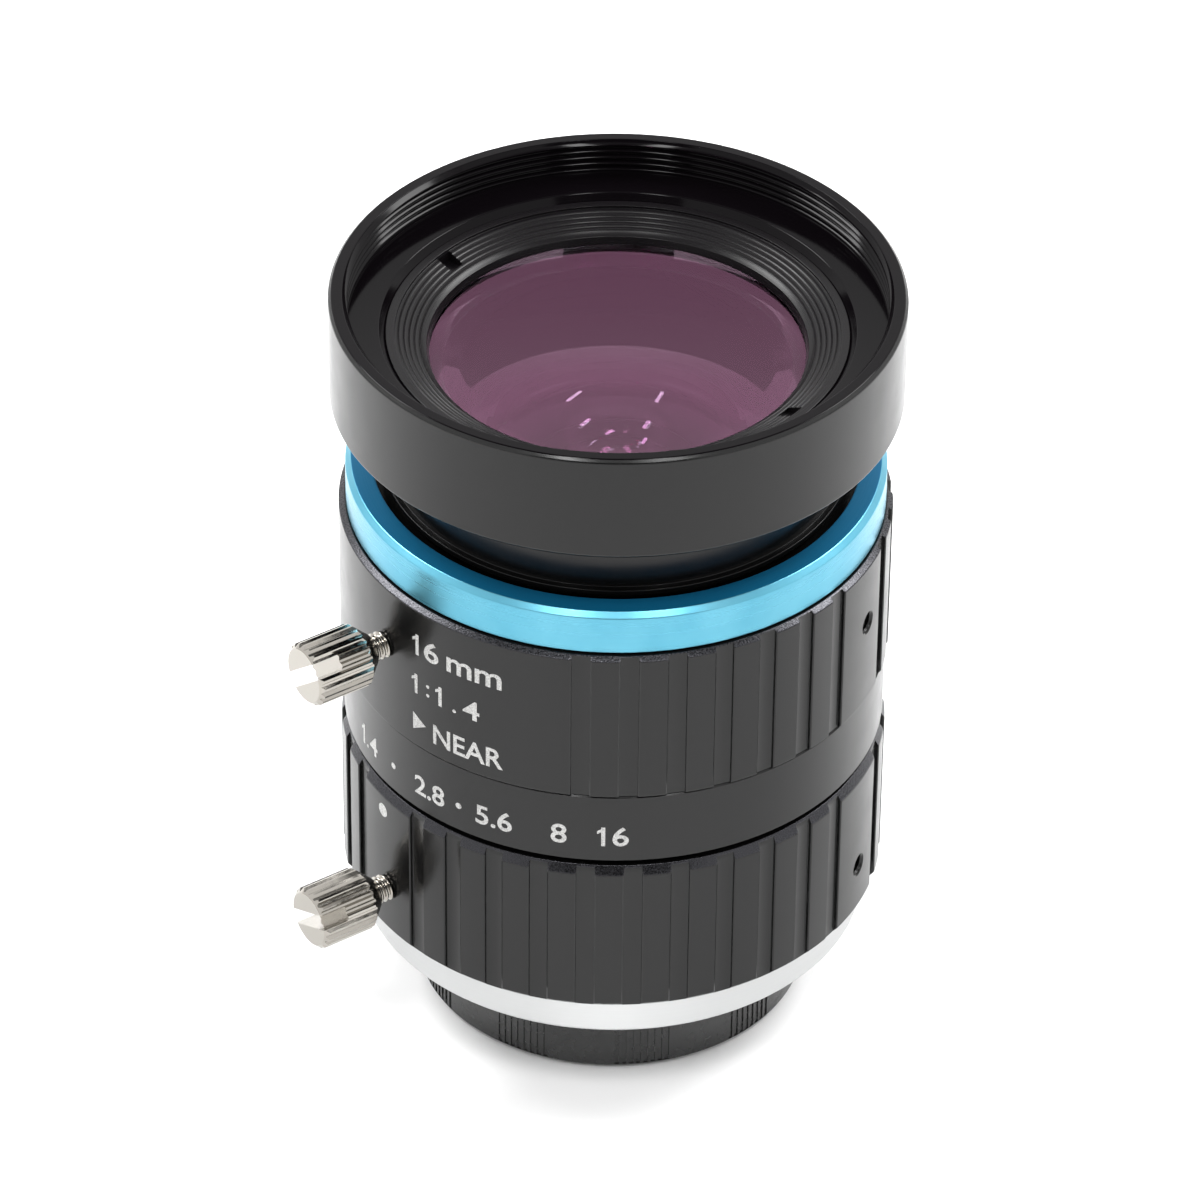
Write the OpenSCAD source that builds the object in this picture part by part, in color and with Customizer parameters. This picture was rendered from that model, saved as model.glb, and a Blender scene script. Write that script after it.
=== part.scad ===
// C-mount machine vision lens: 39 mm across, 50 mm from the mount flange to the front rim.
// The origin is the centre of the mount flange face, and +Z runs along the optical axis to the front.
// Angles around the axis are counted from -Y, which is the side with the aperture numbers, towards +X.

/* [Mount] */
// Step from the edge of the rings in to the edge of the flange disc
flange_step = 1.15; // [0.5:0.05:2]
// Height of the flange disc
flange_h = 3.15; // [2.6:0.05:4.5]
// Outer diameter of the mount thread, 1 inch
mount_d = 25.4; // [24.4:0.1:25.4]
// Length of the mount thread below the flange face
mount_len = 4.0; // [3.4:0.1:4.4]
// Wall of the mount thread
mount_wall = 1.9; // [1.5:0.05:1.95]
// Width of the relief around the thread's root
relief_w = 1.5; // [1.2:0.1:1.8]
// Depth of the relief around the thread's root
relief_depth = 0.4; // [0.3:0.05:0.6]

/* [Barrel] */
// Wall of the barrel under the two rings
barrel_wall = 1.6; // [1.4:0.05:1.7]
// Step from the edge of the rings in to the fixed band with the aperture numbers
band_step = 0.2; // [0:0.05:0.7]
// Height of the fixed band
band_h = 5.55; // [4:0.05:8]

/* [Rings] */
// Outer diameter of the focus and aperture rings
grip_d = 38.0; // [37.4:0.1:39]
// Wall of the focus and aperture rings
ring_wall = 2.35; // [2.2:0.05:2.5]
// Height of the aperture ring
aperture_h = 12.75; // [12.55:0.05:15]
// Height of the focus ring
focus_h = 11.8; // [11.4:0.05:14]
// Depth of the grip grooves
groove_depth = 0.3; // [0.1:0.05:0.5]
// Width of each grip groove
groove_w = 1.3; // [0.8:0.1:1.8]
// Angle from one grip groove to the next
groove_pitch = 9.92; // [9:0.02:10.5]

/* [Accent ring] */
// Step from the edge of the rings in to the edge of the blue ring
accent_step = 0.5; // [0.1:0.05:1]
// Height of the blue ring
accent_h = 3.2; // [2.8:0.05:4.5]
// Bevel at the top edge of the blue ring
accent_bevel = 0.38; // [0.1:0.02:0.5]

/* [Front] */
// Overhang of the front ring beyond the edge of the rings
bezel_over = 0.5; // [0.2:0.05:0.9]
// Height of the front ring
bezel_h = 8.0; // [7.6:0.1:9.5]
// Visible neck between the blue ring and the front ring
neck_show = 5.25; // [4.8:0.05:6.5]
// Wall of the front ring at the filter thread
filter_wall = 1.27; // [1:0.01:1.6]
// Depth of the filter thread
filter_depth = 2.55; // [2.2:0.05:2.7]
// Width of the flat floor between the filter thread and the retaining ring
floor_w = 2.58; // [2.2:0.02:2.6]
// Width of the front retaining ring
retainer_w = 2.95; // [2.8:0.05:3.6]
// Width of each step turned in the retaining ring
step_w = 0.62; // [0.5:0.01:0.65]
// Drop of each step turned in the retaining ring
step_drop = 0.26; // [0.1:0.01:0.3]

/* [Iris] */
// Diameter of the fully open stop
stop_d = 12.8; // [12:0.1:13]
// Diameter of the smallest stop
stop_min_d = 1.14; // [0.8:0.02:2]
// Thickness of a blade
blade_t = 0.08; // [0.05:0.01:0.1]
// Radius of the pins riveted to a blade
blade_pin_r = 0.3; // [0.25:0.01:0.35]
// Radius of the pin between the aperture ring and the iris
drive_pin_r = 0.55; // [0.45:0.05:0.6]
// Thickness of the iris drive ring
drive_h = 1.3; // [1.2:0.05:1.4]

/* [Screws] */
// Diameter of the tapped holes in the rings
tap_d = 1.6; // [1.4:0.05:2]
// Height of the tapped holes above the foot of the aperture ring
aperture_tap_h = 4.0; // [3.5:0.1:5]
// Height of the tapped holes above the foot of the focus ring
focus_tap_h = 6.8; // [4:0.1:7]
// Diameter of a thumbscrew's head
thumb_d = 4.5; // [3.8:0.1:5]
// Length of a thumbscrew's head
thumb_len = 4.5; // [4:0.1:6]
// Bare stretch of screw between the ring and the head
thumb_reach = 2.0; // [1.2:0.1:3]
// Width of the slot across the head
slot_w = 1.1; // [0.6:0.1:1.4]
// Depth of the slot across the head
slot_depth = 1.9; // [1:0.1:2.5]

/* [Rear cap] */
// Wall of the rear cap
cap_wall = 1.05; // [0.8:0.05:1.15]
// Height of the rear cap below the flange face
cap_drop = 6.8; // [6.4:0.1:8]
// Floor of the rear cap
cap_floor = 1.6; // [1.2:0.1:2]

/* [Travel] */
// Way that the lens cell moves from infinity to the nearest focus
focus_travel = 1.4; // [1:0.1:1.5]
// Turn of the aperture ring from the rest place back to the widest stop
open_turn = 6.6; // [5:0.1:8]
// Turn of the aperture ring from the rest place to the smallest stop
close_turn = 56.5; // [50:0.5:57]

/* [Hidden] */
$fn = 96;
over = 1;

// Clearances: a turned fit, a screwed or seated fit in one body, and a gap between faces
run_c = 0.05;
seat_c = 0.03;
face_c = 0.05;

// Radii outwards through the barrel, the rings and the cell
ring_out = grip_d / 2;
groove_r = ring_out - groove_depth;
ring_in = ring_out - ring_wall;
barrel_out = ring_in - run_c;
barrel_in = barrel_out - barrel_wall;
band_r = ring_out - band_step;
accent_r = ring_out - accent_step;
bezel_r = ring_out + bezel_over;
filter_r = bezel_r - filter_wall;
flange_r = ring_out - flange_step;
mount_r = mount_d / 2;
mount_bore = mount_r - mount_wall;
cell_out = barrel_in - run_c;
lip_w = 0.7;
stop_out = barrel_out + lip_w;
counter_r = stop_out + run_c;
neck_r = cell_out + 0.65;
neck_foot_r = neck_r + 0.4;
accent_in = neck_foot_r + 0.7;
cell_thread_r = cell_out - 0.35;

// Heights upwards from the flange face
z_ap0 = flange_h + face_c;
z_ap1 = z_ap0 + aperture_h;
z_band0 = z_ap1 + face_c;
z_band1 = z_band0 + band_h;
z_fo0 = z_band1 + face_c;
z_fo1 = z_fo0 + focus_h;
accent_gap = 0.15;
z_ac0 = z_fo1 + accent_gap;
z_ac1 = z_ac0 + accent_h;
z_bez0 = z_ac1 + neck_show;
z_rim = z_bez0 + bezel_h;
edge = 0.25;

// Focus ring and barrel top: the stop ring keeps the focus ring down, the helicoid ring is above it
stop_h = 1.2;
z_stop0 = z_fo1 - 3.6;
z_stop1 = z_stop0 + stop_h;
z_heli0 = z_stop1 + 0.15;
z_heli1 = z_ac1 - 1.2;
z_step = z_heli1 + face_c;

// Aperture drive: the pin stands in the iris drive ring and reaches a groove in the aperture ring
pin_z = z_ap0 + 10.05;
pin_angle = 150;
pin_c = 0.07;
pin_end = ring_in + 0.9;
slot_half = drive_pin_r + pin_c;

// Iris stack in the rear bore of the cell
iris_r = cell_out - 1.65;
iris_disc = iris_r - run_c;
z_drive0 = pin_z - drive_h / 2;
z_drive1 = z_drive0 + drive_h;
blade_gap = 0.06;
z_blade = z_drive1 + 0.15;
blades = 5;
z_base0 = z_blade + blades * (blade_t + blade_gap) + 0.1;
base_h = 1.2;
z_base1 = z_base0 + base_h;
z_cover1 = z_drive0 - face_c;
cover_h = 1.35;
z_cover0 = z_cover1 - cover_h;
pivot_r = iris_r - 2.0;
stop_r = stop_d / 2;
band_out = pivot_r - 0.9;
drive_at = 22;
aperture_turn = open_turn + close_turn;
blade_close = 2 * asin((stop_r - stop_min_d / 2) / (2 * pivot_r));
blade_ratio = blade_close / aperture_turn;

// Lens cell, from its foot to the thread that takes the front ring
z_cell0 = flange_h + 2.85;
z_seat = z_base1 + seat_c;
third_bore = cell_out - 3.95;
z_third = z_seat + 5.4;
front_bore = cell_out - 1.95;
z_wide = z_third + 5.5;
z_cell1 = z_ac1 - 0.35;
z_cell2 = z_cell1 + 2.4;
passage_r = third_bore - 1.4;

// Guide key in the barrel, in a straight slot of the cell
key_r = 1.0;
key_z = z_fo0 + 3.0;
key_in = cell_out - 1.0;

// Front group, placed from the rim
glass_r = cell_out - 0.95;
retainer_r = filter_r - floor_w;
clear_r = retainer_r - retainer_w;
z_floor = z_rim - filter_depth;
floor_drop = 0.22;
floor_r = retainer_r + 0.45;
z_ret1 = z_rim - 3.2;
z_ret0 = z_ret1 - 1.65;
z_glass1 = z_ret0 - seat_c;
z_glass0 = z_glass1 - 2.55;
z_second1 = z_cell2 - 1.8;
z_second0 = z_second1 - 2.45;

// Elements: radius, thickness, and the curves of their faces as multiples of that radius
front_dish = 10.714;
front_hollow = 4.286;
front_rim = 3.2;
second_r = front_bore - 0.05;
second_curve = 3.475;
second_hollow = 1.2355;
second_rim = 3.45;
third_r = third_bore - 0.05;
third_t = 2.5;
third_curve = 1.8265;
third_under = 2.74;
third_rim = 1.55;
z_third0 = z_third + seat_c;
z_third1 = z_third0 + third_t;
pair_curve = 1.5135;
crown_curve = 3.568;
flint_under = 4.324;
last_curve = 4.649;
last_under = 3.243;

// Rear group in its own tube, screwed into the foot of the cell
rear_r = min(mount_bore - 0.4, iris_disc - 2.85);
rear_bore = rear_r - 1.1;
rear_glass = rear_bore - run_c;
z_rear1 = z_cover0 - 1.8;
z_rear_flange = z_cell0 + 1.0;
z_rear0 = 1 - mount_len;
rear_lip = 1.2;

// Thumbscrews and tapped holes stand 120 degrees apart on each ring
thumb_angle = -55;
tap_angles = [thumb_angle, thumb_angle + 120, thumb_angle + 240];
focus_tap_z = z_fo0 + focus_tap_h;
aperture_tap_z = z_ap0 + aperture_tap_h;
shank_r = tap_d / 2 - 0.04;
tip_gap = 0.25;

// Grip grooves run in three fields of eleven, and the focus ring keeps a plain field for its words
groove_first = -45.2;
focus_shift = -1.3;
plain_from = -106;
plain_to = -10;

// Rear cap
cap_r = mount_r + run_c + cap_wall;
z_cap0 = -cap_drop;
z_cap1 = relief_depth - 0.25;
rib_groups = 10;
rib_cuts = 8;
rib_pitch = 2.12;
rib_w = 0.3;
rib_depth = 0.08;
cap_edge = 0.4;

// Sagitta of a sphere of radius big at the distance x from its axis
function sag(x, big) = big - sqrt(big * big - x * x);

// Height at which a spacer of inner radius x sits on a bulging face, above the edge of that face
function seat_on(r, x, curve) = sag(r, curve * r) - sag(x, curve * r) + seat_c;

// Points along a circle of radius r from angle a to angle b
function arc(r, a, b, n) = [for (i = [0 : n]) r * [cos(a + (b - a) * i / n), sin(a + (b - a) * i / n)]];

// A point turned about the origin
function turn(p, a) = [p[0] * cos(a) - p[1] * sin(a), p[0] * sin(a) + p[1] * cos(a)];

// Turns what is drawn along +X to the angle a, counted from -Y towards +X
module at_angle(a) {
  rotate([0, 0, a - 90]) children();
}

// A ring with its bore
module ring(r_out, r_in, z0, z1) {
  difference() {
    translate([0, 0, z0]) cylinder(r = r_out, h = z1 - z0);
    translate([0, 0, z0 - over]) cylinder(r = r_in, h = z1 - z0 + 2 * over);
  }
}

// A body turned from its half section, given as radius and height
module turned(points) {
  rotate_extrude() polygon(points);
}

// A block that cuts a window between two angles, wider than the wall on both sides
module sector(r0, r1, z0, z1, a, b) {
  translate([0, 0, z0]) linear_extrude(z1 - z0)
    polygon(concat(arc(r0, a - 90, b - 90, 16), arc(r1, b - 90, a - 90, 16)));
}

// A radial hole or pin along +X
module radial(r, from, to, z) {
  translate([from, 0, z]) rotate([0, 90, 0]) cylinder(r = r, h = to - from, $fn = 48);
}

// A glass element: flat rim from z0 to z1, a top and a bottom face of the given radius and width
// A positive radius bulges outwards, a negative one is hollow
module element(r, z0, z1, top_big, top_w, bottom_big, bottom_w) {
  n = 14;
  top = [for (i = [0 : n]) let (x = top_w * i / n)
    [x, z1 + sign(top_big) * (sag(top_w, abs(top_big)) - sag(x, abs(top_big)))]];
  bottom = [for (i = [0 : n]) let (x = bottom_w * (n - i) / n)
    [x, z0 - sign(bottom_big) * (sag(bottom_w, abs(bottom_big)) - sag(x, abs(bottom_big)))]];
  rim_top = top_w < r ? [[r, z1]] : [];
  rim_bottom = bottom_w < r ? [[r, z0]] : [];
  turned(concat(top, rim_top, rim_bottom, bottom));
}

// Grip grooves of one ring, but none in a plain field
module grip(shift, from, to) {
  for (third = [0 : 2], i = [0 : 10]) {
    a = groove_first + shift + 120 * (third - 1) + i * groove_pitch;
    if (a < from || a > to)
      at_angle(a) translate([groove_r, -groove_w / 2, -over]) cube([2, groove_w, 40]);
  }
}

// Barrel: a tube under both rings, with the fixed band of aperture numbers between them
module main_barrel() {
  color([0.12, 0.12, 0.13]) difference() {
    union() {
      ring(barrel_out, barrel_in, flange_h + seat_c, z_stop1);
      turned([
        [barrel_out - 0.2, z_band0], [band_r - 0.1, z_band0], [band_r, z_band0 + 0.1],
        [band_r, z_band1 - 0.1], [band_r - 0.1, z_band1], [barrel_out - 0.2, z_band1]
      ]);
    }
    sector(barrel_in - 0.5, pin_end + 0.2, pin_z - slot_half, pin_z + focus_travel + slot_half,
      pin_angle - open_turn - 3, pin_angle + close_turn + 3);
    at_angle(180) radial(key_r, barrel_in - over, barrel_out + over, key_z);
  }
}

// Flange disc, mount thread and the spigot that screws into the barrel
module mount_flange() {
  color([0.86, 0.86, 0.85]) turned([
    [mount_bore, -mount_len], [mount_r - 0.4, -mount_len], [mount_r, 0.4 - mount_len],
    [mount_r, relief_depth], [mount_r + relief_w, relief_depth], [mount_r + relief_w, 0],
    [flange_r - edge, 0], [flange_r, edge], [flange_r, flange_h],
    [barrel_in - seat_c, flange_h], [barrel_in - seat_c, z_cell0 - 0.4], [mount_bore, z_cell0 - 0.4]
  ]);
}

// Ring screwed on the top of the barrel, which keeps the focus ring down
module focus_stop_ring() {
  color([0.72, 0.6, 0.3]) ring(stop_out, barrel_out + seat_c, z_stop0, z_stop1);
}

// Key screw in the barrel, which lets the cell slide but not turn
module guide_key() {
  color([0.7, 0.7, 0.7]) at_angle(180) radial(key_r - seat_c, key_in, barrel_out - 0.05, key_z);
}

// Focus ring: grip grooves, a plain field for its words and three tapped holes
module focus_ring() {
  color([0.12, 0.12, 0.13]) difference() {
    turned([
      [ring_in, z_fo0], [ring_out - 0.15, z_fo0], [ring_out, z_fo0 + 0.15],
      [ring_out, z_fo1 - 0.25], [ring_out - 0.4, z_fo1], [counter_r, z_fo1],
      [counter_r, z_stop0 - face_c], [ring_in, z_stop0 - face_c]
    ]);
    grip(focus_shift, plain_from, plain_to);
    for (a = tap_angles) at_angle(a) radial(tap_d / 2, ring_in - over, ring_out + over, focus_tap_z);
  }
}

// Nut with the multi-start focus thread, screwed into the focus ring
module helicoid_ring() {
  color([0.12, 0.12, 0.13]) ring(stop_out, barrel_in, z_heli0, z_heli1);
}

// Blue ring clamped over the nut at the top of the focus ring
module accent_ring() {
  color([0.2, 0.62, 0.8]) turned([
    [counter_r, z_ac0], [accent_r - 0.05, z_ac0], [accent_r, z_ac0 + 0.05],
    [accent_r, z_ac1 - accent_bevel], [accent_r - accent_bevel, z_ac1],
    [accent_in, z_ac1], [accent_in, z_step], [counter_r, z_step]
  ]);
}

// Thumbscrew: a threaded shank and a straight knurled head with a screwdriver slot
module thumbscrew(z, spin) {
  tip = barrel_out + tip_gap;
  head = ring_out + thumb_reach;
  flutes = 22;
  collar = 0.75;
  r = thumb_d / 2;
  outline = [for (i = [0 : 4 * flutes - 1])
    (i % 4 < 2 ? r : r - 0.2) * [cos(90 * i / flutes), sin(90 * i / flutes)]];
  color([0.82, 0.82, 0.8]) at_angle(thumb_angle) translate([0, 0, z]) rotate([spin, 0, 0]) {
    radial(shank_r, tip, head + 0.2, 0);
    rotate([0, 90, 0]) turned([
      [0, head - collar],
      [r - 1.05, head - collar],
      [r - 0.35, head],
      [r - 0.35, head + 0.1],
      [0, head + 0.1]
    ]);
    difference() {
      intersection() {
        translate([head, 0, 0]) rotate([90, 0, 90]) linear_extrude(thumb_len) polygon(outline);
        rotate([0, 90, 0]) turned([
          [0, head], [r - 0.35, head], [r, head + 0.35], [r, head + thumb_len - 0.3],
          [r - 0.3, head + thumb_len], [0, head + thumb_len]
        ]);
      }
      translate([head + thumb_len - slot_depth, -slot_w / 2, -r - over])
        cube([slot_depth + over, slot_w, thumb_d + 2 * over]);
    }
  }
}

// Thumbscrew that locks the focus ring
module focus_thumbscrew() {
  thumbscrew(focus_tap_z, 130);
}

// Thumbscrew that locks the aperture ring
module aperture_thumbscrew() {
  thumbscrew(aperture_tap_z, 115);
}

// Aperture ring: grip grooves, three tapped holes and an inner groove that carries the drive pin
module aperture_ring() {
  lip = 0.45;
  color([0.12, 0.12, 0.13]) difference() {
    turned([
      [ring_in, z_ap0], [groove_r - 0.02, z_ap0], [ring_out, z_ap0 + groove_depth + 0.05],
      [ring_out, z_ap1 - lip - 0.65], [ring_out - 0.4, z_ap1 - lip], [ring_out - 0.9, z_ap1 - lip],
      [ring_out - 0.9, z_ap1], [ring_in, z_ap1]
    ]);
    grip(0, 0, 0);
    for (a = tap_angles) at_angle(a) radial(tap_d / 2, ring_in - over, ring_out + over, aperture_tap_z);
    at_angle(pin_angle) translate([ring_in - over, -drive_pin_r - 0.04, pin_z - slot_half])
      cube([pin_end + 0.15 - ring_in + over, 2 * drive_pin_r + 0.08, focus_travel + 2 * slot_half]);
  }
}

// Sliding cell that holds every glass element and the iris
module cell_tube() {
  color([0.2, 0.2, 0.21]) difference() {
    turned([
      [iris_r, z_cell0], [cell_out, z_cell0], [cell_out, z_cell1], [cell_thread_r, z_cell1],
      [cell_thread_r, z_cell2], [front_bore, z_cell2], [front_bore, z_wide], [third_bore, z_wide],
      [third_bore, z_third], [passage_r, z_third], [passage_r, z_seat], [iris_r, z_seat]
    ]);
    sector(iris_r - 0.5, cell_out + 0.5, pin_z - slot_half, pin_z + slot_half,
      pin_angle - open_turn - 3, pin_angle + close_turn + 3);
    at_angle(180) translate([key_in - 0.15, -key_r - run_c, key_z - key_r - focus_travel - run_c])
      cube([over + 1, 2 * (key_r + run_c), 2 * (key_r + run_c) + focus_travel]);
  }
}

// Front ring with the filter thread and the neck that screws on the cell
module front_bezel() {
  neck_foot = z_cell1 + face_c;
  color([0.12, 0.12, 0.13]) turned([
    [cell_thread_r + seat_c, neck_foot], [neck_foot_r, neck_foot], [neck_foot_r, z_ac1 + 0.1],
    [neck_r, z_ac1 + 0.15], [neck_r, z_bez0], [bezel_r - 0.3, z_bez0], [bezel_r, z_bez0 + 0.3],
    [bezel_r, z_rim - edge], [bezel_r - edge, z_rim], [filter_r + 0.3, z_rim],
    [filter_r, z_rim - 0.3], [filter_r, z_floor], [floor_r, z_floor - floor_drop],
    [retainer_r + seat_c, z_ret1 - 0.1], [retainer_r + seat_c, z_ret0 - 0.25],
    [glass_r + seat_c, z_ret0 - 0.25], [glass_r + seat_c, z_cell2 + seat_c],
    [cell_thread_r + seat_c, z_cell2 + seat_c]
  ]);
}

// Retaining ring of the front glass: stepped against stray light, with two spanner notches
module front_retainer() {
  land = retainer_r - 0.61;
  steps = [for (i = [0 : 2]) each [
    [land - i * step_w, z_ret1 - i * step_drop],
    [land - i * step_w, z_ret1 - (i + 1) * step_drop + 0.12],
    [land - (i + 1) * step_w + 0.06, z_ret1 - (i + 1) * step_drop]
  ]];
  inner = land - 3 * step_w;
  color([0.14, 0.14, 0.15]) difference() {
    turned(concat(
      [[clear_r, z_ret0], [retainer_r, z_ret0], [retainer_r, z_ret1 - 0.1], [retainer_r - 0.1, z_ret1]],
      steps,
      [[inner, z_ret1 - 3 * step_drop - 0.06], [clear_r + 0.2, z_ret1 - 3 * step_drop - 0.3]]
    ));
    for (a = [0, 180]) at_angle(a - 127) translate([inner + 0.6, -0.6, z_ret1 - 1]) cube([1.3, 1.2, 3]);
  }
}

// First glass, hollow on both sides, with the purple coating
module front_element() {
  color([0.42, 0.28, 0.42, 0.6]) element(glass_r, z_glass0, z_glass1, -front_dish * glass_r, glass_r,
    -front_hollow * glass_r, glass_r - front_rim);
}

// Spacer between the first and the second glass
module front_spacer() {
  inner = second_r - 0.95;
  foot = z_second1 + seat_on(second_r, inner, second_curve);
  color([0.2, 0.2, 0.21]) turned([
    [inner, foot], [second_r, foot], [second_r, z_cell2 + 0.05],
    [glass_r - 0.02, z_cell2 + 0.05], [glass_r - 0.02, z_glass0 - seat_c], [inner, z_glass0 - seat_c]
  ]);
}

// Second glass, a meniscus
module second_element() {
  color([0.75, 0.82, 0.85, 0.6])
    element(second_r, z_second0, z_second1, second_curve * second_r, second_r,
      -second_hollow * second_r, second_r - second_rim);
}

// Long spacer between the second and the third glass
module long_spacer() {
  inner = third_r - 1.15;
  foot = z_third1 + seat_on(third_r, inner, third_curve);
  color([0.2, 0.2, 0.21]) turned([
    [inner, foot], [third_r, foot], [third_r, z_wide + 0.05], [second_r, z_wide + 0.05],
    [second_r, z_second0 - seat_c], [second_r - 2.15, z_second0 - seat_c]
  ]);
}

// Third glass, thick and convex on both sides
module third_element() {
  color([0.75, 0.82, 0.85, 0.6])
    element(third_r, z_third0, z_third1, third_curve * third_r, third_r,
      third_under * third_r, third_r - third_rim);
}

// Plate above the blades, with the five pivot holes
module iris_base() {
  color([0.3, 0.3, 0.3]) difference() {
    ring(iris_disc, stop_r + 0.5, z_base0, z_base1);
    for (i = [0 : blades - 1]) rotate([0, 0, 360 / blades * i])
      translate([pivot_r, 0, z_base0 - over]) cylinder(r = blade_pin_r + 0.04, h = over + 0.8, $fn = 24);
  }
}

// Screwed ring below the drive ring
module iris_cover() {
  color([0.3, 0.3, 0.3]) ring(iris_disc, stop_r + 1.1, z_cover0, z_cover1);
}

// Place of a blade's drive pin when the blade has closed by the angle f
function drive_pin(f) = [pivot_r, 0] + turn(pivot_r * [cos(drive_at) - 1, sin(drive_at)], f);

// The same place seen from the drive ring, which has turned by s from fully open
function cam(s) = turn(drive_pin(blade_ratio * s), open_turn - s);

// Drive ring with five cam slots that close the blades evenly as it turns
module iris_drive_ring() {
  half = blade_pin_r + 0.04;
  first = -0.6;
  last = aperture_turn + 0.6;
  n = 24;
  path = [for (i = [0 : n]) first + (last - first) * i / n];
  side = [for (s = path) let (d = cam(s + 0.05) - cam(s - 0.05)) [-d[1], d[0]] / norm(d)];
  left = [for (i = [0 : n]) cam(path[i]) + half * side[i]];
  right = [for (i = [n : -1 : 0]) cam(path[i]) - half * side[i]];
  color([0.45, 0.4, 0.3]) difference() {
    ring(iris_disc, pivot_r - 3.1, z_drive0, z_drive1);
    for (i = [0 : blades - 1]) rotate([0, 0, 360 / blades * i]) {
      translate([0, 0, z_drive0 - over]) linear_extrude(drive_h + 2 * over) polygon(concat(left, right));
      for (end = [cam(first), cam(last)])
        translate([end[0], end[1], z_drive0 - over]) cylinder(r = half, h = drive_h + 2 * over, $fn = 24);
    }
    at_angle(pin_angle) radial(drive_pin_r, iris_disc - 1.2, iris_disc + over, pin_z);
  }
}

// Pin from the drive ring through the cell and the barrel into the aperture ring
module aperture_pin() {
  color([0.7, 0.7, 0.7]) at_angle(pin_angle) radial(drive_pin_r - 0.02, iris_disc - 1.15, pin_end, pin_z);
}

// One blade: a thin crescent with a pivot pin above it and a drive pin below it
module iris_blade(i) {
  z = z_blade + i * (blade_t + blade_gap);
  tail = 140;
  tab = 4.5;
  color([0.25, 0.25, 0.26]) rotate([0, 0, 360 / blades * i])
    translate([pivot_r, 0, 0]) rotate([0, 0, blade_ratio * open_turn]) translate([-pivot_r, 0, 0]) {
      translate([0, 0, z]) linear_extrude(blade_t) union() {
        polygon(concat(arc(stop_r, -5, tail, 48), arc(band_out, tail, -5, 48)));
        polygon(concat(
          arc(stop_r + 2, -tab, drive_at + tab, 12),
          arc(pivot_r + 0.7, drive_at + tab, -tab, 12)
        ));
      }
      translate([pivot_r, 0, z]) cylinder(r = blade_pin_r, h = z_base0 + 0.65 - z, $fn = 24);
      translate([drive_pin(0)[0], drive_pin(0)[1], z_drive0 + 0.3])
        cylinder(r = blade_pin_r, h = z + blade_t - z_drive0 - 0.3, $fn = 24);
    }
}

module iris_blade_1() { iris_blade(0); }
module iris_blade_2() { iris_blade(1); }
module iris_blade_3() { iris_blade(2); }
module iris_blade_4() { iris_blade(3); }
module iris_blade_5() { iris_blade(4); }

// Tube of the rear group, screwed into the foot of the cell
module rear_cell() {
  color([0.2, 0.2, 0.21]) turned([
    [rear_bore - 1.5, z_rear0], [rear_r, z_rear0], [rear_r, z_rear_flange], [iris_disc, z_rear_flange],
    [iris_disc, z_rear1], [rear_bore, z_rear1], [rear_bore, z_rear0 + rear_lip],
    [rear_bore - 1.5, z_rear0 + rear_lip]
  ]);
}

// Heights in the rear group, from the lip upwards
z_last0 = z_rear0 + rear_lip + seat_c;
z_last1 = z_last0 + 2.3;
z_flint0 = z_last1 + 1.3;
z_flint1 = z_flint0 + 5.6;
z_crown0 = z_flint1 + 0.02;
z_crown1 = z_crown0 + 0.5;

// Crown glass of the cemented pair
module rear_crown() {
  color([0.75, 0.82, 0.85, 0.6])
    element(rear_glass, z_crown0, z_crown1, crown_curve * rear_glass, rear_glass,
      pair_curve * rear_glass, rear_glass);
}

// Flint glass of the cemented pair
module rear_flint() {
  color([0.75, 0.82, 0.85, 0.6])
    element(rear_glass, z_flint0, z_flint1, -pair_curve * rear_glass, rear_glass,
      -flint_under * rear_glass, rear_glass - 0.6);
}

// Spacer between the cemented pair and the last glass
module rear_spacer() {
  inner = rear_glass - 0.9;
  foot = z_last1 + seat_on(rear_glass, inner, last_curve);
  color([0.2, 0.2, 0.21]) ring(rear_glass, inner, foot, z_flint0 - seat_c);
}

// Last glass, convex on both sides
module rear_element() {
  color([0.75, 0.82, 0.85, 0.6])
    element(rear_glass, z_last0, z_last1, last_curve * rear_glass, rear_glass,
      last_under * rear_glass, rear_bore - 1.7);
}

// Retaining ring above the cemented pair
module rear_retainer() {
  inner = rear_glass - 1;
  foot = z_crown1 + seat_on(rear_glass, inner, crown_curve);
  color([0.2, 0.2, 0.21]) ring(rear_bore - seat_c, inner, foot, z_rear1);
}

// Dust cap screwed over the mount thread, with groups of fine ribs
module rear_cap() {
  thread_r = mount_r + run_c;
  color([0.14, 0.14, 0.14]) difference() {
    turned([
      [0, z_cap0], [cap_r - cap_edge, z_cap0], [cap_r, z_cap0 + cap_edge], [cap_r, z_cap1],
      [thread_r, z_cap1], [thread_r, z_cap0 + cap_floor], [0, z_cap0 + cap_floor]
    ]);
    for (g = [0 : rib_groups - 1], i = [0 : rib_cuts - 1])
      at_angle(9.5 + 360 / rib_groups * g + (i - (rib_cuts - 1) / 2) * rib_pitch)
        translate([cap_r - rib_depth, -rib_w / 2, z_cap0 + cap_edge + 0.05]) cube([1, rib_w, 20]);
  }
}

main_barrel();
mount_flange();
focus_stop_ring();
guide_key();
focus_ring();
helicoid_ring();
accent_ring();
focus_thumbscrew();
aperture_ring();
aperture_thumbscrew();
cell_tube();
front_bezel();
front_retainer();
front_element();
front_spacer();
second_element();
long_spacer();
third_element();
iris_base();
iris_cover();
rear_cell();
rear_crown();
rear_flint();
rear_spacer();
rear_element();
rear_retainer();
iris_drive_ring();
aperture_pin();
iris_blade_1();
iris_blade_2();
iris_blade_3();
iris_blade_4();
iris_blade_5();
rear_cap();
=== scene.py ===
import math

import bmesh
import bpy
import numpy as np
from mathutils import Matrix, Vector


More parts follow.
